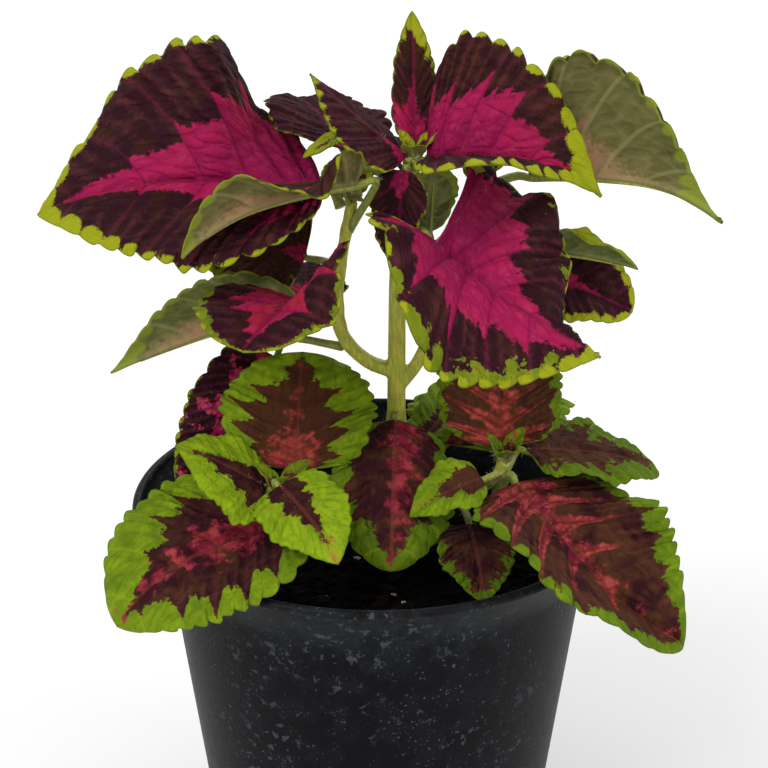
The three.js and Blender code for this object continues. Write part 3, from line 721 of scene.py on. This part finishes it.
def half_width(leaf, t):
    peak = leaf.belly / (leaf.belly + leaf.point)
    full = peak ** leaf.belly * (1 - peak) ** leaf.point
    return leaf.width / 2 * t ** leaf.belly * (1 - t) ** leaf.point / full


def crenation(leaf, t):
    """The rounded teeth of the margin: 0 in the notches and about 1 on the crowns."""
    phase = round(leaf.teeth * FINER_TEETH) * t
    size = 0.84 + 0.16 * np.sin(phase.astype(int) * 2.4 + leaf.length)
    return size * np.sin(np.pi * (phase % 1) ** 0.88) ** 0.75


def tooth(leaf, t):
    """How much of the half width is left at each place on the margin."""
    fade = ramp(t, 0.12) * ramp(0.985 - t, 0.08)
    return 1 - leaf.bite * fade * (1 - crenation(leaf, t))


def folded(leaf, t, along, across, right_side):
    """How far out to the side and up from the midrib's axes a half lies, folded, curled and waved."""
    half = leaf.width / 2
    fold = np.radians(both_sides(leaf.fold, along, right_side))
    tightness = math.radians(leaf.curl) / half
    tilt = fold + tightness * across
    if tightness:
        sideways, up = (np.sin(tilt) - np.sin(fold)) / tightness, (np.cos(fold) - np.cos(tilt)) / tightness
    else:
        sideways, up = across * np.cos(fold), across * np.sin(fold)
    turns = leaf.waves * t + leaf.phase + 0.35 * right_side
    rise = leaf.wave * (across / half) ** 2 * np.sin(2 * np.pi * turns)
    return sideways - rise * np.sin(tilt), up + rise * np.cos(tilt)


def on_blade(leaf, rows, t, v):
    """Points in mm for side vein t, which meets the margin at t, and v from margin to margin."""
    right_side = v > 0
    start = t ** (VEIN_CURVE / REACH_CURVE)
    lobe = both_sides(leaf.lobes, t, right_side) * np.sin(np.pi * t / LOBE_END)
    along = start + np.abs(v) ** VEIN_SWEEP * (t - np.where(t < LOBE_END, lobe, 0) - start)
    across = np.abs(v) * half_width(leaf, t) * (1 - (1 - tooth(leaf, t)) * v**4)
    place = along * RIB_STEPS
    i = np.clip(np.floor(place).astype(int), 0, RIB_STEPS - 1)
    f = np.clip(place - i, 0, 1)
    point, ahead, right, out = [c[i] * (1 - f)[:, None] + c[i + 1] * f[:, None] for c in rows]
    point = point + ahead * ((place - i - f) * leaf.length / RIB_STEPS)[:, None]
    sideways, up = folded(leaf, t, along, across, right_side)
    hand = np.where(right_side, 1.0, -1.0)
    return point + (right * (hand * sideways)[:, None] + out * up[:, None]), along, across


def quilt_cells(x, y, seed):
    """0 on the fine net between the side veins and 1 in the middle of each of its cells."""
    value = np.empty(len(x))
    for i in range(len(x)):
        closest = noise.voronoi((x[i], y[i], seed))[0]
        value[i] = min(1.0, (closest[1] - closest[0]) * 1.7)
    return value


def measured(name, leaf):
    """A leaf's face as a grid. t runs from base to tip, v from margin to margin, lengths are in mm."""
    b = SimpleNamespace(leaf=leaf, rows=midrib(leaf))
    b.seed = zlib.crc32(name.encode()) % 97
    b.veins = max(4, round(leaf.teeth * VEINS_PER_TOOTH))
    b.size = math.sqrt(leaf.width / FULL_WIDTH)
    lay_grid(b, name)
    b.place, b.along, b.across = on_blade(leaf, b.rows, b.t, b.v)
    find_slopes(b)
    b.turns = b.veins * b.t + 0.5
    b.off_vein = np.abs(b.turns - np.round(b.turns)) * b.gap
    b.half = half_width(leaf, b.t)
    b.edge = (1 - b.out) * b.half * tooth(leaf, b.t)
    b.cell = quilt_cells(b.turns * 1.9 + 0.25 * np.sin(b.across), b.across / 2.9, b.seed)
    b.pleat = (0.5 + 0.5 * np.cos(2 * np.pi * PLEATS * b.turns)) * ramp(b.out, 0.4, 0.2)
    return b


def lay_grid(b, name):
    columns = 2 * max(8, round(b.leaf.width / 2 / CELL))
    stations = max(20, round(b.leaf.length * 1.25 / CELL))
    bm = bmesh.new()
    bmesh.ops.create_grid(bm, x_segments=columns, y_segments=stations, size=0.5, calc_uvs=False)
    b.mesh = mesh_from(bm, name)
    flat = np.empty(len(b.mesh.vertices) * 3)
    b.mesh.vertices.foreach_get("co", flat)
    b.v = np.clip(flat[0::3] * 2, -1, 1)
    b.t = np.clip(flat[1::3] + 0.5, 0, 1)
    b.out = np.abs(b.v)
    b.right_side = b.v > 0


def find_slopes(b):
    """The normal of the face and the gap between its side veins, at each point."""

    def point(t, v):
        return on_blade(b.leaf, b.rows, t, v)[0]

    t, v = b.t, b.v
    low_t, high_t = np.clip(t - LITTLE, 0, 1), np.clip(t + LITTLE, 0, 1)
    low_v, high_v = np.clip(v - LITTLE, -1, 1), np.clip(v + LITTLE, -1, 1)
    down = (point(high_t, v) - point(low_t, v)) / (high_t - low_t)[:, None]
    over = (point(t, high_v) - point(t, low_v)) / (high_v - low_v)[:, None]
    cross = np.cross(over, down)
    area = np.linalg.norm(cross, axis=1)
    b.normal = cross / np.maximum(area, TINY)[:, None]
    b.gap = area / np.maximum(np.linalg.norm(over, axis=1), TINY) / b.veins


def shape(b):
    """Moves the grid into place, with the relief of the face on it."""
    left, right = (np.radians(spread(fold, b.along)) for fold in halves(b.leaf.fold))
    room = b.across * np.sin(np.clip((math.pi - (left + right)) / 2, 0, math.pi / 2))
    body = ramp(b.edge, 2.5) * ramp(room, 1.6, 0.4) * ramp(b.t, 0.08)
    between = 1 - near(b.off_vein, 1.15)
    quilt = 0.66 * between + 0.34 * (1 - (1 - b.cell) ** 2) * between
    swell = SWELL * ((quilt + 0.34 * b.pleat * ramp(b.gap, 7)) * body)
    groove = GROOVE * near(b.across, 0.8) * ramp(b.t, 0.1) * ramp(1 - b.t, 0.1)
    cup = CUP * np.clip(1 - b.edge / 3.0, 0, 1) ** 2
    raised = b.size * (swell - groove - cup) + LEAF_SKIN / 2
    place = b.place + b.normal * raised[:, None]
    b.mesh.vertices.foreach_set("co", (place * MM).ravel())


def paint(b, marks):
    """Gives the mesh the numbers that its finish is drawn from, such as mm inside the heart."""
    leaf, turns = b.leaf, b.turns

    def reach(key):
        return both_sides(marks[key], b.t, b.right_side)

    pulse = near(b.off_vein, 1.3)
    saw = (turns % 1) - 0.5 + 0.3 * ((3 * turns) % 1 - 0.5)
    flame = 1 + marks["rays"] * (pulse * 1.6 - 0.8) + marks["steps"] * saw
    finger = pulse * 1.8 - 0.9 + 0.8 * ((2 * turns) % 1 - 0.5)
    dark_reach = reach("dark") * (1 - leaf.bite) * (1 + marks["fingers"] * finger)
    tip_fade = np.where(b.t > 0.5, 2.5 * np.clip(1 - b.half / 5, 0, 1), 0)
    heart_at = b.half * (reach("heart") * flame - b.out) - tip_fade
    dark_at = b.half * (dark_reach - b.out) - tip_fade * leaf.green
    teeth = round(leaf.teeth * FINER_TEETH)
    from_crown = ((teeth * b.t) % 1 - 0.46) * b.gap * b.veins / teeth
    lime_at = reach("lime") - np.hypot(from_crown, b.edge)
    alike = np.ones_like(b.t)
    fields = {
        "flat": (b.across * np.sign(b.v), b.along * leaf.length, alike * b.seed * 3.0),
        "marks": (heart_at, dark_at, lime_at),
        "ribs": (turns, b.gap, b.across),
        "quilt": (b.cell, b.pleat, b.edge),
        "hues": [alike * marks[key] for key in ("warm", "brown", "blush")],
        "breaks": [alike * marks[key] for key in ("patch", "speck", "tone_and_light")],
    }
    for key, columns in fields.items():
        layer = b.mesh.attributes.new(key, "FLOAT_VECTOR", "POINT")
        layer.data.foreach_set("vector", np.stack(columns, 1).astype(np.float32).ravel())


def solid(b, name, finishes):
    """A mesh with both faces of the blade, thin between its veins and thicker on them."""
    holder = linked("weights", b.mesh)
    group = holder.vertex_groups.new(name="rib")
    rib = near(b.off_vein, 0.45) * (1 - 0.75 * b.out) * ramp(b.t, 0.1)
    rib = np.maximum(rib, near(b.across, 0.7))
    for k in np.nonzero(rib > 0.02)[0]:
        group.add([int(k)], float(rib[k]), "REPLACE")
    bm = bmesh.new()
    bm.from_mesh(b.mesh)
    bmesh.ops.remove_doubles(bm, verts=bm.verts, dist=1e-5)
    bm.to_mesh(b.mesh)
    bm.free()
    thick = RIB_SKIN * b.size
    return settled(holder, name, finishes, ("SOLIDIFY", dict(
        thickness=thick * MM, offset=-1.0, vertex_group="rib", material_offset=1,
        thickness_vertex_group=LEAF_SKIN / thick,
    )))


def add_stalk(mesh, leaf, rows):
    """Adds the stalk, from the stem to a keel under the midrib, and gives back its path."""
    spine, ahead, _, out = rows
    sunk = (0.45 + 0.6 * leaf.stout) * np.linspace(1, 0.62, RIB_STEPS + 1)
    under = spine - out * sunk[:, None]
    root = np.array(leaf.root, float)
    bow = spine[0] - ahead[0] * 0.3 * np.linalg.norm(root - spine[0]) - out[0] * 0.6
    points = [root, bow, under[0], *under[KEEL_STEP:KEEL_END:KEEL_STEP]]
    path = smooth_path(points, STALK_STEPS)
    blade_starts = 2 / (len(points) - 1)
    share = np.linspace(0, 1, STALK_STEPS)
    girths = leaf.stout * np.interp(share, [0, 0.03, blade_starts, 1], [1.25, 1.05, 0.85, 0.16])

    bm = bmesh.new()
    bm.from_mesh(mesh)
    blade = set(bm.faces)
    tube(bm, path, girths, 10)
    stalk = [face for face in bm.faces if face not in blade]
    bmesh.ops.recalc_face_normals(bm, faces=stalk)
    for face in bm.faces:
        face.smooth = True
    for face in stalk:
        face.material_index = 2
    bm.to_mesh(mesh)
    bm.free()
    return path


def make_leaf(name, leaf, *nodes):
    """A piece with its blade and its stalk. Gives back the stalk's path."""
    if leaf.green:
        marks, finishes, slot = LOWER_MARKS, (LOWER_FACE, LOWER_BACK, STALK_SKIN), "lower_foliage"
    else:
        marks, finishes, slot = CROWN_MARKS, (CROWN_FACE, CROWN_BACK, STALK_SKIN), "crown_foliage"
    blade = measured(name, leaf)
    shape(blade)
    paint(blade, {**marks, **MARKS.get(name, {})})
    mesh = solid(blade, "leaf_" + name, finishes)
    path = add_stalk(mesh, leaf, blade.rows)
    add_piece("coleus_" + name, mesh, slot, *nodes)
    return path


stalks = {name: make_leaf(name, leaf, "leaf_" + name) for name, leaf in LEAVES.items()}

# The growing tips: where each shoot ends, which way its first young leaf points, and its kind.
TIPS = {
    "crown": ((9.5, 0, 204), -95, False),
    "left": ((-6, -2, 194), 60, False),
    "right": ((26, 9, 194), 20, False),
    "low_left": ((-24, -34, 127), 40, True),
    "low_right": ((33, -19, 129), -75, True),
}
TIP_LEAVES = 3


def make_tips():
    """Three very young leaves around the end of each shoot."""
    for place, (tip, heading, green) in TIPS.items():
        for k in range(TIP_LEAVES):
            toward = heading + 360 / TIP_LEAVES * k
            ahead = np.array([*cos_sin(toward), 1.3])
            leaf = placed(
                tuple(np.array(tip) + ahead * 1.2), tip, toward, 38 + 12 * k, 10 - 1.5 * k, 7 - k,
                bend=(0, 20), fold=18, wave=0.3, teeth=5, stout=0.55, green=green,
            )
            stalks[f"tip_{place}_{k}"] = make_leaf(f"tip_{place}_{k}", leaf)


make_tips()

# ---- stems ----

# Points along each shoot, and its girth at its foot and its tip.
SHOOTS = [
    ([(3, 0, 74), (4, 0, 96), (5, 0, 120), (5.2, 0, 150), (5.5, 0, 175), (7, 0, 192), (9.5, 0, 204)],
     3.1, 1.9),
    ([(5, 0, 146), (-3, -1, 150), (-9, -2, 158), (-10, -2, 170), (-8, -2, 184), (-6, -2, 194)], 2.0, 1.4),
    ([(5, 0, 141), (11, 1, 149), (15, 3, 160), (17, 5, 174), (21, 7, 188), (26, 9, 194)], 1.9, 1.3),
    ([(4, 0, 106), (-6, -10, 110), (-16, -22, 115), (-22, -31, 122), (-24, -34, 127)], 2.0, 1.3),
    ([(4, 0, 106), (14, -5, 111), (24, -12, 117), (30, -17, 123), (33, -19, 129)], 2.0, 1.3),
]
STEM_VOXEL = 0.42


def make_stems():
    """The shoots grown together, each a little swollen where a stalk leaves it."""
    roots = np.array([leaf.root for leaf in LEAVES.values()], float)
    bm = bmesh.new()
    for points, thick, thin in SHOOTS:
        count = 16 * len(points)
        path = smooth_path(points, count)
        girths = np.linspace(thick, thin, count)
        nearest = np.array([np.linalg.norm(roots - p, axis=1).min() for p in path])
        girths *= 1 + 0.16 * near(nearest, 2.2)
        tube(bm, path, girths, 24, square=0.07)
    bmesh.ops.recalc_face_normals(bm, faces=bm.faces)
    mesh = settled(
        linked("rough_stems", mesh_from(bm, "stems")), "stems", [STEM_SKIN],
        ("REMESH", dict(mode="VOXEL", voxel_size=STEM_VOXEL * MM, use_smooth_shade=True)),
        ("SMOOTH", dict(factor=0.5, iterations=4)),
    )
    add_piece("coleus_stems", mesh, "stem_tissue", "stems")


make_stems()

STEM_HAIRS, STALK_HAIRS = 260, 46       # on each shoot and on each stalk
HAIR_GIRTH, HAIR_LENGTHS = 0.045, (0.6, 1.5)
BARE_HEIGHT = SOIL_HEIGHT + 3.0
HAIRY_STEPS = 22                        # of a stalk's, which leaves its keel bare


def make_hairs():
    """Short stiff hairs that stand out from the shoots and the stalks."""
    draws = random.Random(29)
    bm = bmesh.new()
    furry = [(smooth_path(points, 80), thick, thin, STEM_HAIRS) for points, thick, thin in SHOOTS]
    furry += [(path[:HAIRY_STEPS], 1.05, 0.9, STALK_HAIRS) for path in stalks.values()]
    for path, thick, thin, count in furry:
        forward = np.gradient(path, axis=0)
        for _ in range(count):
            share = draws.random()
            i = int(share * (len(path) - 1))
            if path[i][2] < BARE_HEIGHT:
                continue
            side = Vector(forward[i]).orthogonal().normalized()
            side.rotate(Quaternion(Vector(forward[i]).normalized(), draws.uniform(0, 2 * math.pi)))
            long = draws.uniform(*HAIR_LENGTHS)
            middle = Vector(path[i]) + side * ((thick + (thin - thick) * share) * 0.92 + long / 2)
            lean = Vector((0, 0, draws.uniform(-0.3, 0.3)))
            turn = (side + lean).to_track_quat("Z", "X").to_matrix().to_4x4()
            bmesh.ops.create_cone(
                bm, cap_ends=True, segments=3, radius1=HAIR_GIRTH * MM, radius2=0.0, depth=long * MM,
                matrix=Matrix.Translation(middle * MM) @ turn,
            )
    add_piece("fine_hairs", mesh_from(bm, "fine_hairs", HAIR), "stem_tissue")


make_hairs()

# ---- pot ----

RIM_RADIUS, BASE_RADIUS, SHOULDER_RADIUS, SHOULDER_HEIGHT = 65.0, 43.0, 56.0, 94.0
LIP, WALL = 1.3, 1.5
DRAIN_RADIUS, DRAIN_CIRCLE, DRAIN_HOLES, DRILL_LENGTH = 4.0, 30.0, 6, 9.0
PROFILE_STEPS = 12


def spun(profile, steps, name):
    """A solid spun about the upright axis from (radius, height) pairs in mm."""
    bm = bmesh.new()
    verts = [bm.verts.new((r * MM, 0, z * MM)) for r, z in profile]
    edges = [bm.edges.new(pair) for pair in zip(verts, verts[1:])]
    bmesh.ops.spin(
        bm, geom=verts + edges, cent=(0, 0, 0), axis=(0, 0, 1), angle=2 * math.pi, steps=steps, use_merge=True
    )
    bmesh.ops.remove_doubles(bm, verts=bm.verts, dist=1e-6)
    bmesh.ops.recalc_face_normals(bm, faces=bm.faces)
    for face in bm.faces:
        face.smooth = True
    return mesh_from(bm, name)


def pot_profile():
    """Up the outside from the middle of the base, over the lip, and down the inside."""
    top = RIM_RADIUS - LIP
    wall = [(BASE_RADIUS - 1.4, 0), (BASE_RADIUS - 0.5, 0.3), (BASE_RADIUS, 1.2)]
    flare = []
    for k in range(PROFILE_STEPS):
        share = k / PROFILE_STEPS
        flare.append((SHOULDER_RADIUS + (top - SHOULDER_RADIUS) * share**1.5,
                      SHOULDER_HEIGHT + (RIM_HEIGHT - LIP - SHOULDER_HEIGHT) * share))
        if k:
            wall.append((BASE_RADIUS + (SHOULDER_RADIUS - BASE_RADIUS) * k / PROFILE_STEPS,
                         1.2 + (SHOULDER_HEIGHT - 1.2) * k / PROFILE_STEPS))
    lip = []
    for k in range(13):
        out, up = cos_sin(-70 + 22 * k)
        lip.append((top + LIP * out, RIM_HEIGHT - LIP + LIP * up))
    inside = [(r - WALL, z) for r, z in reversed(flare[:-1])]
    inside += [(r - WALL, z) for r, z in reversed(wall[3:])]
    inside += [(BASE_RADIUS - WALL - 0.3, WALL + 1.0), (BASE_RADIUS - WALL - 1.6, WALL)]
    return [(0, 0), (20, 0), *wall, *flare, *lip, *inside, (20, WALL), (0, WALL)]


def make_pot():
    """The spun pot with its drain holes drilled."""
    bm = bmesh.new()
    for k in range(DRAIN_HOLES):
        angle = 2 * math.pi * k / DRAIN_HOLES
        spot = (DRAIN_CIRCLE * MM * math.cos(angle), DRAIN_CIRCLE * MM * math.sin(angle), 0)
        bmesh.ops.create_cone(
            bm, cap_ends=True, segments=28, radius1=DRAIN_RADIUS * MM, radius2=DRAIN_RADIUS * MM,
            depth=DRILL_LENGTH * MM, matrix=Matrix.Translation(spot),
        )
    drill = linked("drill", mesh_from(bm, "drill"))
    mesh = settled(
        linked("whole_pot", spun(pot_profile(), 168, "pot")), "pot", [POT],
        ("BOOLEAN", dict(object=drill, operation="DIFFERENCE", solver="EXACT")),
    )
    bpy.data.objects.remove(drill)
    add_piece("nursery_pot", mesh, "pot_plastic", "pot")


make_pot()

# ---- soil ----

SOIL_RADIUS, SOIL_FOOT = 53.2, 2.2
SOIL_RINGS = 44


def soil_level(x, y):
    """Height of the surface in mm, heaped a little towards the stem."""
    heap = 1.2 * math.sin(x / 9 + 1) * math.cos(y / 11 - 0.5)
    crumbs = noise.noise((x / 3.2, y / 3.2, 4.0)) * 0.8 + noise.noise((x / 1.3, y / 1.3, 9.0)) * 0.4
    return SOIL_HEIGHT + heap + crumbs


def make_soil():
    """The bed that fills the pot, with an uneven surface that evens out towards the wall."""
    profile = [(0, SOIL_FOOT), (BASE_RADIUS - WALL - 1.2, SOIL_FOOT), (SOIL_RADIUS - 0.4, SOIL_HEIGHT - 4)]
    profile += [(SOIL_RADIUS * (1 - k / SOIL_RINGS), SOIL_HEIGHT - 1) for k in range(SOIL_RINGS + 1)]
    mesh = spun(profile, 180, "soil")
    for vert in mesh.vertices:
        if vert.co.z > (SOIL_HEIGHT - 2) * MM:
            x, y = vert.co.x / MM, vert.co.y / MM
            edge = min(1.0, (SOIL_RADIUS - math.hypot(x, y)) / 4)
            vert.co.z = (soil_level(x, y) * edge + (SOIL_HEIGHT - 1.6) * (1 - edge)) * MM
    mesh.materials.append(MIX_DARKENED_AS_SHADE)
    add_piece("potting_mix_bed", mesh, "potting_mix", "soil")


def scatter(name, material, count, small, large, long, sink, draws):
    """Loose bits pressed a little into the soil."""
    bm = bmesh.new()
    for _ in range(count):
        reach = (SOIL_RADIUS - 1.5) * math.sqrt(draws.random())
        angle = draws.uniform(0, 2 * math.pi)
        x, y = reach * math.cos(angle), reach * math.sin(angle)
        size = draws.uniform(small, large)
        spin = Matrix.Rotation(draws.uniform(0, math.pi), 4, "Z")
        lean = Matrix.Rotation(draws.uniform(-0.5, 0.5), 4, "X")
        lengths = draws.uniform(0.8, long), draws.uniform(0.6, 1.0), draws.uniform(0.4, 0.8)
        spot = Matrix.Translation(Vector((x, y, soil_level(x, y) + size * sink)) * MM)
        place = spot @ (spin @ lean) @ Matrix.Diagonal((*lengths, 1))
        bit = bmesh.ops.create_icosphere(bm, subdivisions=1, radius=size / 2 * MM, matrix=place)["verts"]
        for vert in bit:
            vert.co += noise.noise_vector(vert.co / MM * 1.9) * size * 0.12 * MM
    add_piece(name, mesh_from(bm, name, material), "potting_mix")


make_soil()
soil_draws = random.Random(11)
scatter("soil_crumbs", MIX_DARKENED_AS_SHADE, 1300, 1.0, 2.8, 1.4, 0.05, soil_draws)
scatter("bark_bits", BARK, 150, 2.0, 4.6, 2.4, 0.12, soil_draws)
scatter("perlite_grains", PERLITE, 22, 1.2, 2.4, 1.1, 0.12, soil_draws)

# ---- floor ----

bm = bmesh.new()
bmesh.ops.create_grid(bm, x_segments=2, y_segments=2, size=4.0)
linked("floor", mesh_from(bm, "floor", floor_finish()))
